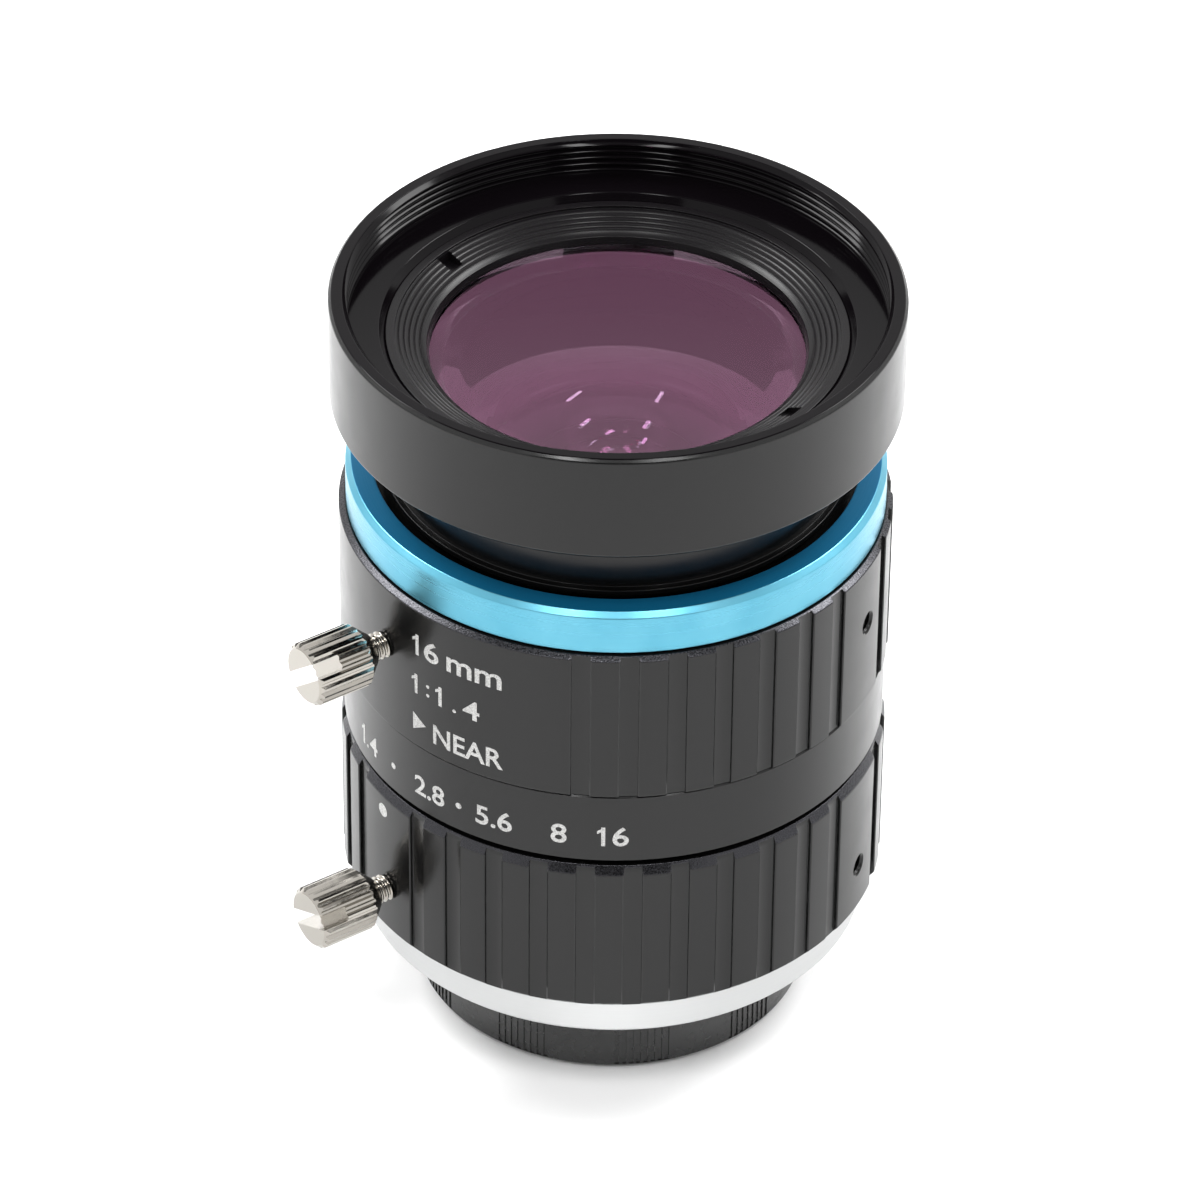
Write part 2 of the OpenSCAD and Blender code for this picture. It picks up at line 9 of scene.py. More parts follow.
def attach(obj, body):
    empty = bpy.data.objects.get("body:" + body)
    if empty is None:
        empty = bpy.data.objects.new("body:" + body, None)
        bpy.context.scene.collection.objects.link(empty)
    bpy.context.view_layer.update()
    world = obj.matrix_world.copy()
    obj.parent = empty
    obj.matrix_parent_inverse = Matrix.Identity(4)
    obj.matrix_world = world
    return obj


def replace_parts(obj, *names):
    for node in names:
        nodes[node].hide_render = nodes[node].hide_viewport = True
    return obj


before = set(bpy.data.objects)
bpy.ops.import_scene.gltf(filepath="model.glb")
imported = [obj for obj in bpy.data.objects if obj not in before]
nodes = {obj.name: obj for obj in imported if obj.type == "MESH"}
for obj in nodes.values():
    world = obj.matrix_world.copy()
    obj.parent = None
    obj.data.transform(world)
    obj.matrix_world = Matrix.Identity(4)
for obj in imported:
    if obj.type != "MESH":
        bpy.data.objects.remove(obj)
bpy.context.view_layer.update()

# ---------------------------------------------------------------- Mount flange and C-mount thread
# The flange is turned from aluminium in one piece with the 1-32 UN thread below it, faced bright
# and left clear, and it screws into the barrel by a spigot. The thread is a helical surface here,
# because the rear cap that hides it comes off.

MM = 0.001


def srgb(code):
    """Linear colour of an sRGB hex value: c/12.92 up to 0.04045, above it ((c + 0.055)/1.055)^2.4."""
    c = np.array([int(code[i:i + 2], 16) for i in (1, 3, 5)]) / 255
    return (*np.where(c <= 0.04045, c / 12.92, ((c + 0.055) / 1.055) ** 2.4), 1.0)


def node(tree, kind, settings=None, plugs=None):
    """Adds one node, sets its properties and sockets, and plugs other nodes' outputs into it."""
    made = tree.nodes.new(kind)
    for key, value in (settings or {}).items():
        if isinstance(key, str) and hasattr(made, key):
            setattr(made, key, value)
        else:
            made.inputs[key].default_value = value
    for key, source in (plugs or {}).items():
        tree.links.new(source, made.inputs[key])
    return made


def finish_of(name, **sockets):
    """A new material with its shader's constant sockets set, returned with its tree and shader."""
    mat = bpy.data.materials.new(name)
    mat.use_nodes = True
    tree = mat.node_tree
    shader = tree.nodes["Principled BSDF"]
    for key, value in sockets.items():
        shader.inputs[key.replace("_", " ")].default_value = value
    return mat, tree, shader


def lathe_marks(tree, spacing):
    """Height of turning marks: noise over distance from the lens's axis and height, so it runs in rings."""
    place = node(tree, "ShaderNodeTexCoord")
    flat = node(tree, "ShaderNodeVectorMath", {"operation": "MULTIPLY", 1: (1, 1, 0)},
                {0: place.outputs["Object"]})
    away = node(tree, "ShaderNodeVectorMath", {"operation": "LENGTH"}, {0: flat.outputs[0]})
    parts = node(tree, "ShaderNodeSeparateXYZ", {}, {0: place.outputs["Object"]})
    rings = node(tree, "ShaderNodeCombineXYZ", {}, {0: away.outputs["Value"], 2: parts.outputs["Z"]})
    return node(tree, "ShaderNodeTexNoise", {"Scale": 1 / (spacing * MM), "Detail": 2.0},
                {"Vector": rings.outputs[0]})


def grains(tree, size, detail=2.0):
    """Height of an even grain of the given size in millimetres, as blasting or moulding leaves it."""
    place = node(tree, "ShaderNodeTexCoord")
    return node(tree, "ShaderNodeTexNoise", {"Scale": 1 / (size * MM), "Detail": detail},
                {"Vector": place.outputs["Object"]})


def roughen(tree, shader, noise, low, high):
    """Roughness between two values where a noise is low and high."""
    span = node(tree, "ShaderNodeMapRange", {"From Min": 0.3, "From Max": 0.7, "To Min": low, "To Max": high},
                {"Value": noise.outputs["Fac"]})
    tree.links.new(span.outputs["Result"], shader.inputs["Roughness"])


def dent(tree, shader, layers):
    """Bumps, one after the other: each layer is a noise, its depth in millimetres and its strength."""
    normal = None
    for noise, depth, strength in layers:
        plugs = {"Height": noise.outputs["Fac"]}
        if normal:
            plugs["Normal"] = normal
        bump = node(tree, "ShaderNodeBump", {"Distance": depth * MM, "Strength": strength}, plugs)
        normal = bump.outputs["Normal"]
    tree.links.new(normal, shader.inputs["Normal"])


def surface(name, points, body, material, loop=True, crease=34):
    """A closed mesh from a grid of points in millimetres, indexed by turn and by place on the profile.
    The turn always closes on itself, and the profile too where loop is true. Rows on the axis merge."""
    turns, rows = points.shape[:2]
    index = np.arange(turns * rows).reshape(turns, rows)
    if loop:
        index = np.concatenate([index, index[:, :1]], axis=1)
    index = np.concatenate([index, index[:1]], axis=0)
    quads = np.stack([index[:-1, :-1], index[1:, :-1], index[1:, 1:], index[:-1, 1:]], axis=-1).reshape(-1, 4)
    mesh = bpy.data.meshes.new(name)
    mesh.from_pydata((points.reshape(-1, 3) * MM).tolist(), [], quads.tolist())
    return settle(name, mesh, body, material, crease)


def settle(name, mesh, body, material, crease=34):
    """Merges doubled points, turns the faces outwards, smooths all but the creases, lets the piece ride."""
    shell = bmesh.new()
    shell.from_mesh(mesh)
    bmesh.ops.remove_doubles(shell, verts=shell.verts, dist=1e-8)
    bmesh.ops.dissolve_degenerate(shell, edges=shell.edges, dist=1e-9)
    bmesh.ops.recalc_face_normals(shell, faces=shell.faces)
    shell.to_mesh(mesh)
    shell.free()
    mesh.polygons.foreach_set("use_smooth", [True] * len(mesh.polygons))
    mesh.set_sharp_from_angle(angle=math.radians(crease))
    mesh.materials.append(material)
    piece = bpy.data.objects.new(name, mesh)
    bpy.context.scene.collection.objects.link(piece)
    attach(piece, body)
    return piece


def second_finish(piece, material, chosen):
    """Gives a second material to the faces chosen by their normal's height, radius and height in mm."""
    mesh = piece.data
    mesh.materials.append(material)
    normals, centres = np.zeros(len(mesh.polygons) * 3), np.zeros(len(mesh.polygons) * 3)
    mesh.polygons.foreach_get("normal", normals)
    mesh.polygons.foreach_get("center", centres)
    up, centres = normals.reshape(-1, 3)[:, 2], centres.reshape(-1, 3) / MM
    picked = chosen(up, np.hypot(centres[:, 0], centres[:, 1]), centres[:, 2])
    mesh.polygons.foreach_set("material_index", picked.astype(np.int32))


def rounded(corners, steps=3):
    """A closed half section as radius and height, from corners given as radius, height and easing.
    Each eased corner is a quadratic curve between two points at that distance from it, with one more
    point just outside either end that keeps the flat beside it flat in shading."""
    c = np.array(corners, float)
    corner, ease = c[:, :2], c[:, 2:3]
    back, ahead = np.roll(corner, 1, 0) - corner, np.roll(corner, -1, 0) - corner
    back /= np.linalg.norm(back, axis=1, keepdims=True)
    ahead /= np.linalg.norm(ahead, axis=1, keepdims=True)
    first, last = corner + back * ease, corner + ahead * ease
    t = np.linspace(0, 1, steps + 1)[None, :, None]
    curve = (1 - t) ** 2 * first[:, None] + 2 * t * (1 - t) * corner[:, None] + t ** 2 * last[:, None]
    guard_a, guard_b = (corner + back * ease * 1.35)[:, None], (corner + ahead * ease * 1.35)[:, None]
    full = np.concatenate([guard_a, curve, guard_b], axis=1)
    kept = [full[k] if ease[k] > 0 else corner[k:k + 1] for k in range(len(corner))]
    return np.concatenate(kept)


def turned(profile, turns=360):
    """Points of a body of revolution: the half section is carried round the lens's axis."""
    a = np.linspace(0, 2 * np.pi, turns, endpoint=False)[:, None]
    r, z = profile[None, :, 0], profile[None, :, 1]
    return np.stack([r * np.cos(a), r * np.sin(a), z + 0 * a], axis=-1)


def thread_wave(angle, along, pitch):
    """1 on the crest and 0 in the root of a right-hand thread: a cosine of length over pitch less turns."""
    return 0.5 + 0.5 * np.cos(2 * np.pi * (along / pitch - angle / (2 * np.pi)))


def faded(along, low, high, width):
    """0 at both ends of a stretch, 1 in between, with an even run over the given width."""
    return np.clip(np.minimum(along - low, high - along) / width, 0, 1)


def threaded(profile, low, high, radius, depth, pitch, turns=300):
    """A turned body whose wall at the given radius, between two heights, is cut into a thread:
    the wall's radius goes down (or up, with a negative depth) by depth times one less the wave."""
    points = turned(profile, turns)
    a = np.linspace(0, 2 * np.pi, turns, endpoint=False)[:, None]
    z = profile[None, :, 1]
    on_wall = (np.abs(profile[None, :, 0] - radius) < 1e-6) & (z > low) & (z < high)
    cut = depth * (1 - thread_wave(a, z, pitch)) * faded(z, low, high, pitch / 2) * on_wall
    r = profile[None, :, 0] - cut
    points[..., 0], points[..., 1] = r * np.cos(a), r * np.sin(a)
    return points


# Bright aluminium, faced on a lathe: nearly white, with fine rings that stretch its highlights.
# Feed marks are about 0.05 mm apart, drawn at 0.12 mm so that they show.
bright_aluminium, tree, shader = finish_of(
    "turned_bright_aluminium", Base_Color=srgb("#bfc0c0"), Metallic=1.0)
marks = lathe_marks(tree, 0.12)
roughen(tree, shader, marks, 0.30, 0.42)
dent(tree, shader, [(marks, 0.004, 0.35)])

UN_PITCH = 25.4 / 32
THREAD_R, THREAD_FOOT, THREAD_TOP, THREAD_DEPTH = 12.7, -4.0, 0.4, 0.43
flange_profile = np.concatenate([
    rounded([(10.8, THREAD_FOOT, 0.1), (12.3, THREAD_FOOT, 0.1)]),
    np.column_stack([np.full(60, THREAD_R), np.linspace(THREAD_FOOT + 0.42, 0.38, 60)]),
    rounded([(THREAD_R, THREAD_TOP, 0), (14.2, 0.4, 0.05), (14.2, 0, 0.06), (17.6, 0, 0.06),
             (17.85, 0.25, 0.08), (17.85, 3.15, 0.1), (14.97, 3.15, 0.05), (14.97, 5.6, 0.1),
             (10.8, 5.6, 0.1)]),
])
flange = surface(
    "flange_with_thread",
    threaded(flange_profile, THREAD_FOOT + 0.4, THREAD_TOP, THREAD_R, THREAD_DEPTH, UN_PITCH),
    "barrel", bright_aluminium)
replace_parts(flange, "mount_flange")

# ---------------------------------------------------------------- Barrel with the aperture numbers
# The barrel is one black anodised aluminium turning: a tube under both rings and, between them, the
# fixed band. Its numbers are marked by a laser, which bleaches the dye and leaves them light grey.

# Black anodised aluminium: a dyed, sealed oxide layer on finely blasted metal, so it is dark and
# satin seen straight on and bright at the limbs. Its grain is about 0.03 mm, drawn at 0.07 mm.
black_anodised, tree, shader = finish_of(
    "black_anodised_aluminium", Base_Color=srgb("#0d0d0d"), Metallic=0.0, IOR=1.38)
marks, grain = lathe_marks(tree, 0.25), grains(tree, 0.07)
roughen(tree, shader, grains(tree, 2.5, 4.0), 0.20, 0.27)
dent(tree, shader, [(marks, 0.003, 0.25), (grain, 0.002, 0.3)])


def paint(name, material):
    """Gives a part of the solid model one material and leaves its mesh as it is."""
    for slot in nodes[name].material_slots:
        slot.material = material


for name in ("main_barrel", "helicoid_ring"):
    paint(name, black_anodised)

# Laser marking: bleached oxide, light and matt, with a fine hatch that leaves it slightly uneven.
laser_white, tree, shader = finish_of(
    "laser_marking", Base_Color=srgb("#cfcfcd"), Metallic=0.0, Roughness=0.6)
hatch = grains(tree, 0.09)
shade = node(tree, "ShaderNodeValToRGB", {}, {"Fac": hatch.outputs["Fac"]})
shade.color_ramp.elements[0].position, shade.color_ramp.elements[0].color = 0.34, srgb("#868584")
shade.color_ramp.elements[1].position, shade.color_ramp.elements[1].color = 0.56, srgb("#bcbcba")
tree.links.new(shade.outputs["Color"], shader.inputs["Base Color"])

MARK_PROUD, MARK_SUNK = 0.012, 0.01


def wrapped(flat, radius, angle, height):
    """Carries flat points (across, up, share of thickness) onto a cylinder: across becomes an angle
    counted from -Y towards +X, up becomes height, and the share goes from just under to just proud."""
    a = np.radians(angle) + flat[:, 0] / radius
    r = radius - MARK_SUNK + (MARK_SUNK + MARK_PROUD) * flat[:, 2]
    return np.column_stack([r * np.sin(a), -r * np.cos(a), height + flat[:, 1]])


def word(text, width, height):
    """Thin closed letters, stretched to a width and height in millimetres and centred on the origin.
    They are cut into short triangles, so that they can follow a curved wall."""
    curve = bpy.data.curves.new(text, "FONT")
    curve.body, curve.extrude, curve.offset = text, 0.01, 0.015
    holder = bpy.data.objects.new(text, curve)
    bpy.context.scene.collection.objects.link(holder)
    bpy.context.view_layer.update()
    mesh = bpy.data.meshes.new_from_object(holder.evaluated_get(bpy.context.evaluated_depsgraph_get()))
    bpy.data.objects.remove(holder)
    at = np.zeros(len(mesh.vertices) * 3)
    mesh.vertices.foreach_get("co", at)
    at = at.reshape(-1, 3)
    low, high = at.min(0), at.max(0)
    at = (at - low) / (high - low) * [width, height, 1] - [width / 2, height / 2, 0]
    mesh.vertices.foreach_set("co", at.ravel())
    return short_triangles(mesh)


def short_triangles(mesh, longest=0.45):
    """Splits a flat mesh's triangles until no edge is longer than the given length in millimetres."""
    shell = bmesh.new()
    shell.from_mesh(mesh)
    bmesh.ops.remove_doubles(shell, verts=shell.verts, dist=1e-5)
    for _ in range(4):
        bmesh.ops.triangulate(shell, faces=shell.faces)
        long = [e for e in shell.edges if (e.verts[0].co.xy - e.verts[1].co.xy).length > longest]
        if not long:
            break
        bmesh.ops.subdivide_edges(shell, edges=long, cuts=1)
    bmesh.ops.triangulate(shell, faces=shell.faces)
    shell.verts.ensure_lookup_table()
    points = np.array([v.co[:] for v in shell.verts])
    triangles = np.array([[v.index for v in f.verts] for f in shell.faces])
    shell.free()
    return points, triangles


def plate(outline):
    """A thin closed plate with a convex outline: fans from the middle on both sides and a wall round it."""
    n = len(outline)
    middle = outline.mean(0)
    lower = np.column_stack([np.vstack([outline, middle]), np.zeros(n + 1)])
    upper = lower + [0, 0, 1]
    i, j = np.arange(n), (np.arange(n) + 1) % n
    top = np.column_stack([i + n + 1, j + n + 1, np.full(n, 2 * n + 1)])
    bottom = np.column_stack([j, i, np.full(n, n)])
    wall = np.concatenate([np.column_stack([i, j, j + n + 1]), np.column_stack([i, j + n + 1, i + n + 1])])
    return np.vstack([lower, upper]), np.concatenate([top, bottom, wall])


def figure_one(height):
    """The figure 1 as two thin plates: an upright bar, and a short flag that falls to its left."""
    thick = 0.17 * height
    bar = np.array([(-thick / 2, -height / 2), (thick / 2, -height / 2), (thick / 2, height / 2),
                    (-thick / 2, height / 2)])
    flag = np.array([(-0.26 * height, 0.14 * height), (thick / 2, 0.33 * height), (thick / 2, 0.5 * height),
                     (-0.26 * height, 0.29 * height)])
    (a, fa), (b, fb) = plate(bar), plate(flag)
    return np.vstack([a, b]), np.vstack([fa, fb + len(a)])


def spot(radius):
    """A round dot, as a plate with 32 corners."""
    a = np.linspace(0, 2 * np.pi, 32, endpoint=False)
    return plate(radius * np.column_stack([np.cos(a), np.sin(a)]))


def marking(name, signs, radius, body):
    """One piece from several flat signs on the same cylinder. Each is given with the angle and height
    of its line's middle, and with its own place along the line in millimetres where it has one."""
    points, faces, used = [], [], 0
    for (flat, triangles), angle, height, *along in signs:
        points.append(wrapped(flat + [sum(along), 0, 0], radius, angle, height))
        faces.append(triangles + used)
        used += len(flat)
    mesh = bpy.data.meshes.new(name)
    mesh.from_pydata((np.concatenate(points) * MM).tolist(), [], np.concatenate(faces).tolist())
    return settle(name, mesh, body, laser_white, crease=25)


BAND_R, NUMBER_Z, NUMBER_H = 18.8, 18.15, 1.62
marking("aperture_numbers", [
    (figure_one(NUMBER_H), -63.0, NUMBER_Z, -0.9), (spot(0.13), -63.0, NUMBER_Z - 0.68, -0.3),
    (word("4", 1.1, NUMBER_H), -63.0, NUMBER_Z, 0.62), (spot(0.24), -53.1, NUMBER_Z),
    (word("2.8", 2.75, NUMBER_H), -41.8, NUMBER_Z), (spot(0.24), -33.9, NUMBER_Z),
    (word("5.6", 2.75, NUMBER_H), -25.5, NUMBER_Z), (word("8", 1.1, NUMBER_H), -11.2, NUMBER_Z),
    (figure_one(NUMBER_H), 0.1, NUMBER_Z, -0.66), (word("6", 1.1, NUMBER_H), 0.1, NUMBER_Z, 0.52),
], BAND_R, "barrel")

# ---------------------------------------------------------------- Focus and aperture rings
# Both grip rings are black anodised aluminium, turned and then milled with three fields of eleven
# shallow grooves, which leave flat lands. Each has three tapped M2 holes for its locking screw.

GROOVE_R, RING_R = 18.7, 19.0
HOLE_R, RIM_R, HOLE_DEPTH, PATCH, CELLS = 0.8, 0.88, 2.2, 1.7, 8
GROOVE_EDGE = np.array([(-0.80, 0), (-0.73, 0), (-0.65, 0.07), (-0.64, 0.27), (-0.58, 0.3), (0, 0.3)])
GROOVE = np.concatenate([GROOVE_EDGE, (GROOVE_EDGE * [-1, 1])[-2::-1]])


def grip_columns(grooves, holes):
    """Angles and groove depths of the grid's columns: eleven for each groove, an even set across each
    hole's patch, and more wherever two stand over two degrees apart."""
    groove_at = (grooves[:, None] + np.degrees(GROOVE[:, 0] / RING_R)[None]).ravel()
    patch_at = (holes[:, None] + np.degrees(PATCH / RING_R) * np.linspace(-1, 1, 2 * CELLS + 1)[None]).ravel()
    a = np.concatenate([groove_at, patch_at])
    deep = np.concatenate([np.tile(GROOVE[:, 1], len(grooves)), np.zeros(len(patch_at))])
    order = np.argsort(a % 360)
    a, deep = (a % 360)[order], deep[order]
    gap = np.diff(np.append(a, a[0] + 360))
    extra = []
    for k in np.flatnonzero(gap > 2):
        count = int(gap[k] // 2)
        extra.append(a[k] + gap[k] * np.arange(1, count + 1) / (count + 1))
    extra = np.concatenate(extra)
    a, deep = np.append(a, extra), np.append(deep, np.zeros(len(extra)))
    order = np.argsort(a)
    return a[order], deep[order]


def grip_ring(name, corners, grooves, holes, hole_z, body, replaced):
    """A ring whose outer radius, as a function of angle and height, is the turned half section cut down
    to the groove's depth. Round each hole the square grid is drawn into circles and pushed inwards."""
    profile = rounded(corners)
    wall = np.flatnonzero((profile[:, 0] > RING_R - 1e-6) & (np.roll(profile[:, 0], -1) > RING_R - 1e-6)
                          & (np.roll(profile[:, 1], -1) - profile[:, 1] > 5))[0]
    rows = hole_z + PATCH * np.linspace(-1, 1, 2 * CELLS + 1)
    more = np.column_stack([np.full(len(rows), RING_R), rows])
    profile = np.insert(profile, [wall + 1] * len(rows), more, axis=0)
    a, deep = grip_columns(grooves, holes)
    r = np.minimum(profile[None, :, 0], RING_R - deep[:, None])
    z = np.repeat(profile[None, :, 1], len(a), 0)
    turn = np.repeat(np.radians(a)[:, None], len(profile), 1)
    x, y = np.meshgrid(np.arange(-CELLS, CELLS + 1), np.arange(-CELLS, CELLS + 1), indexing="ij")
    ring_no = np.maximum(np.abs(x), np.abs(y))
    length = np.hypot(x, y)
    unit_x, unit_y = x / np.maximum(length, 1), y / np.maximum(length, 1)
    reach = PATCH * length / np.maximum(ring_no, 1)
    t = np.clip((ring_no - 4) / (CELLS - 4), 0, 1)
    inside = np.where(ring_no >= 2, HOLE_R, HOLE_R / 2 * ring_no)
    out = np.where(ring_no >= 4, (1 - t) * RIM_R + t * reach, inside)
    down = np.select([ring_no >= 4, ring_no == 3], [0, 0.08], HOLE_DEPTH)
    for hole in holes:
        first = np.flatnonzero(np.abs(a - (hole - np.degrees(PATCH / RING_R)) % 360) < 1e-6)[0]
        columns = np.arange(first, first + 2 * CELLS + 1) % len(a)
        block = np.ix_(columns, np.arange(wall + 1, wall + 2 + 2 * CELLS))
        turn[block] = np.radians(hole) + out * unit_x / RING_R
        z[block] = hole_z + out * unit_y
        r[block] = RING_R - down
    points = np.stack([r * np.sin(turn), -r * np.cos(turn), z], axis=-1)
    piece = surface(name, points, body, black_anodised)
    second_finish(piece, milled_black,
                  lambda up, away, z: (up > 0.3) & (up < 0.97) & (away > 18.55) & (z > corners[3][1] - 0.1))
    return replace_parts(piece, replaced)


# The lands' top edges are chamfered after blasting: a rough cut under the same dye, which sparkles.
# Its grain is about 0.05 mm, drawn at 0.12 mm.
milled_black, tree, shader = finish_of("milled_black_chamfer", Base_Color=srgb("#37373a"), Metallic=0.9)
cuts = grains(tree, 0.12, 2.0)
roughen(tree, shader, cuts, 0.15, 0.40)
dent(tree, shader, [(cuts, 0.02, 0.9)])

THUMB_ANGLE = -55.0
SCREW_HOLES = THUMB_ANGLE + np.array([0.0, 120.0, 240.0])
FIELDS = (-45.2 + 120 * np.array([-1, 0, 1])[:, None] + 9.92 * np.arange(11)[None]).ravel()
focus_grooves = FIELDS - 1.3
focus_grooves = focus_grooves[(focus_grooves < -106) | (focus_grooves > -10)]
FOCUS_HOLE_Z, APERTURE_HOLE_Z = 28.4, 7.2

grip_ring("focus_grip", [
    (16.65, 21.6, 0.05), (18.85, 21.6, 0.04), (19.0, 21.75, 0.04), (19.0, 33.15, 0.06), (18.7, 33.3375, 0),
    (18.6, 33.4, 0.03), (17.35, 33.4, 0.04), (17.35, 29.75, 0.04), (16.65, 29.75, 0.04),
], focus_grooves, SCREW_HOLES, FOCUS_HOLE_Z, "focus_ring", "focus_ring")
grip_ring("aperture_grip", [
    (16.65, 3.2, 0.05), (18.68, 3.2, 0.02), (19.0, 3.55, 0.05), (19.0, 14.85, 0.08), (18.7, 15.3375, 0),
    (18.6, 15.5, 0.04), (18.1, 15.5, 0.04), (18.1, 15.95, 0.06), (16.65, 15.95, 0.06),
], FIELDS, SCREW_HOLES, APERTURE_HOLE_Z, "aperture_ring", "aperture_ring")

# The focus ring's words stand in the plain field beside its screw: the focal length in millimetres,
# the widest stop and the arrow towards near. The aperture ring has one index dot.
arrow = plate(np.array([(-0.58, -0.72), (0.62, 0.0), (-0.58, 0.72)]))
marking("focus_marks", [
    (figure_one(1.7), -33.9, 30.35, -3.45), (word("6", 1.3, 1.7), -33.9, 30.35, -2.15),
    (word("mm", 4.3, 1.22), -33.9, 30.11, 1.35),
    (figure_one(1.6), -37.0, 27.0, -2.55), (spot(0.14), -37.0, 26.55, -1.45),
    (spot(0.14), -37.0, 27.3, -1.45), (figure_one(1.6), -37.0, 27.0, -0.35),
    (spot(0.14), -37.0, 26.34, 0.85), (word("4", 1.3, 1.6), -37.0, 27.0, 2.2),
    (arrow, -43.9, 23.75), (word("NEAR", 5.6, 1.62), -31.5, 23.55),
], RING_R, "focus_ring")
marking("aperture_index", [(spot(0.52), -56.4, 13.65)], RING_R, "aperture_ring")

# ---------------------------------------------------------------- Tapped holes and thumbscrews
# The thumbscrews are turned from steel, straight knurled, slotted for a screwdriver and plated with
# bright nickel. Their M2 threads, and those of the open holes, are helical surfaces of 0.4 mm pitch.

M2_PITCH = 0.4


def bolt_thread(name, angle, height, start, end, root, crest, hidden, body, material):
    """A threaded sleeve along a radius of the lens: one wall swings between root and crest, the other
    is a plain cylinder of radius hidden, inside the metal that carries the thread."""
    phi = np.linspace(0, 2 * np.pi, 48, endpoint=False)[:, None]
    s = np.linspace(start, end, 12 * int(round((end - start) / M2_PITCH)) + 1)[None]
    wave = thread_wave(phi, s, M2_PITCH) * faded(s, start, end, 0.12)
    wall = np.concatenate([root + (crest - root) * wave, np.full((len(phi), 2), hidden)], axis=1)
    along = np.concatenate([s, [[end, start]]], axis=1) + 0 * phi
    t = np.radians(angle)
    out, side = np.array([np.sin(t), -np.cos(t), 0]), np.array([np.cos(t), np.sin(t), 0])
    up = np.array([0, 0, 1])
    points = (along[..., None] * out + (wall * np.cos(phi))[..., None] * side
              + (wall * np.sin(phi))[..., None] * up + [0, 0, height])
    return surface(name, points, body, material, crease=60)


# Bright nickel plate over knurled steel: warm grey mirror with slightly uneven polish.
nickel, tree, shader = finish_of("bright_nickel_plate", Base_Color=srgb("#a29e97"), Metallic=1.0)
polish = grains(tree, 0.35, 3.0)
roughen(tree, shader, polish, 0.08, 0.20)
dent(tree, shader, [(polish, 0.006, 0.25)])

for ring, height in (("focus", FOCUS_HOLE_Z), ("aperture", APERTURE_HOLE_Z)):
    paint(ring + "_thumbscrew", nickel)
    bolt_thread(ring + "_screw_thread", THUMB_ANGLE, height, 19.02, 20.3, 0.78, 0.98, 0.7,
                ring + "_screw", nickel)
    for k, angle in enumerate(SCREW_HOLES[1:]):
        bolt_thread(f"{ring}_tap_thread_{k + 1}", angle, height, 17.0, 18.9, 0.79, 0.69, 0.84,
                    ring + "_ring", black_anodised)

# ---------------------------------------------------------------- Blue ring
# The accent ring is aluminium, turned, polished and anodised blue, and clamped over the top of the
# focus ring. The dye is clear, so it colours the metal's own reflection.

# Blue anodised aluminium: a tinted mirror with a satin edge, and painted reflection: faint lighter and darker
# patches of about 4 mm in its colour, standing in for mottled reflections of the surroundings.
blue_anodised, tree, shader = finish_of("blue_anodised_aluminium", Base_Color=srgb("#5c9fb5"), Metallic=1.0)
marks, painted_reflection_patches = lathe_marks(tree, 0.15), grains(tree, 4.0, 3.0)
# Painted reflection: noise swings the base colour between two blues in 4 mm patches.
tint = node(tree, "ShaderNodeValToRGB", {}, {"Fac": painted_reflection_patches.outputs["Fac"]})
tint.color_ramp.elements[0].position, tint.color_ramp.elements[0].color = 0.30, srgb("#569ab0")
tint.color_ramp.elements[1].position, tint.color_ramp.elements[1].color = 0.70, srgb("#62a4b9")
tree.links.new(tint.outputs["Color"], shader.inputs["Base Color"])
roughen(tree, shader, marks, 0.26, 0.36)
dent(tree, shader, [(marks, 0.003, 0.2), (grains(tree, 0.1), 0.002, 0.2)])

accent_profile = rounded([
    (17.35, 33.55, 0), (18.45, 33.55, 0.03), (18.5, 33.6, 0.03), (18.5, 36.37, 0.05), (18.12, 36.75, 0.05),
    (16.7, 36.75, 0.08), (16.7, 35.6, 0.03), (17.35, 35.6, 0),
])
# The land and the bore were turned after polishing: the same dye on a duller ground, so a deep blue.
deep_blue, tree, shader = finish_of("turned_blue_anodised", Base_Color=srgb("#0f6f9a"), Metallic=0.5)
marks = lathe_marks(tree, 0.12)
roughen(tree, shader, marks, 0.35, 0.5)
dent(tree, shader, [(marks, 0.004, 0.4)])

accent = surface("blue_ring", turned(accent_profile), "focus_ring", blue_anodised)
BORE_FOOT, LAND_OUT, BORE_R = 34.0, 18.1, 16.9
second_finish(accent, deep_blue,
              lambda up, away, z: (z > BORE_FOOT) & (((up > 0.97) & (away < LAND_OUT)) | (away < BORE_R)))
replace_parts(accent, "accent_ring")

# ---------------------------------------------------------------- Front ring with the filter thread
# The front ring and its neck are one black anodised turning that screws onto the lens cell. Inside
# its rim is the M37 x 0.5 filter thread, cut as a helix, and below it the flat floor.

FILTER_R, FILTER_LOW, FILTER_HIGH, FILTER_DEPTH, FILTER_PITCH = 18.23, 47.5, 49.72, 0.27, 0.5
bezel_profile = np.concatenate([
    rounded([(14.63, 36.45, 0.05), (16.0, 36.45, 0.05), (16.0, 36.85, 0.05), (15.6, 36.9, 0.04),
             (15.6, 42.0, 0.06), (19.2, 42.0, 0.06), (19.5, 42.3, 0.08), (19.5, 49.75, 0.08),
             (19.25, 50.0, 0.05), (18.53, 50.0, 0.05)]),
    np.column_stack([np.full(70, FILTER_R), np.linspace(49.7, 47.52, 70)]),
    rounded([(18.23, 47.45, 0), (16.1, 47.23, 0.05), (15.68, 46.7, 0.05), (15.68, 44.9, 0.05),
             (14.03, 44.9, 0), (14.03, 38.83, 0), (14.63, 38.83, 0)]),
])
# The same black anodising inside the rim, where it is as turned: glossy, with fine rings of 0.2 mm. Its
# darker colour and weaker reflection are painted shade, for the shade that falls inside the rim.
glossy_black_painted_shade, tree, shader = finish_of(
    "glossy_anodised_painted_shade", Base_Color=srgb("#080608"), Metallic=0.0, IOR=1.19)
marks = lathe_marks(tree, 0.2)
roughen(tree, shader, marks, 0.08, 0.14)
dent(tree, shader, [(marks, 0.002, 0.2)])

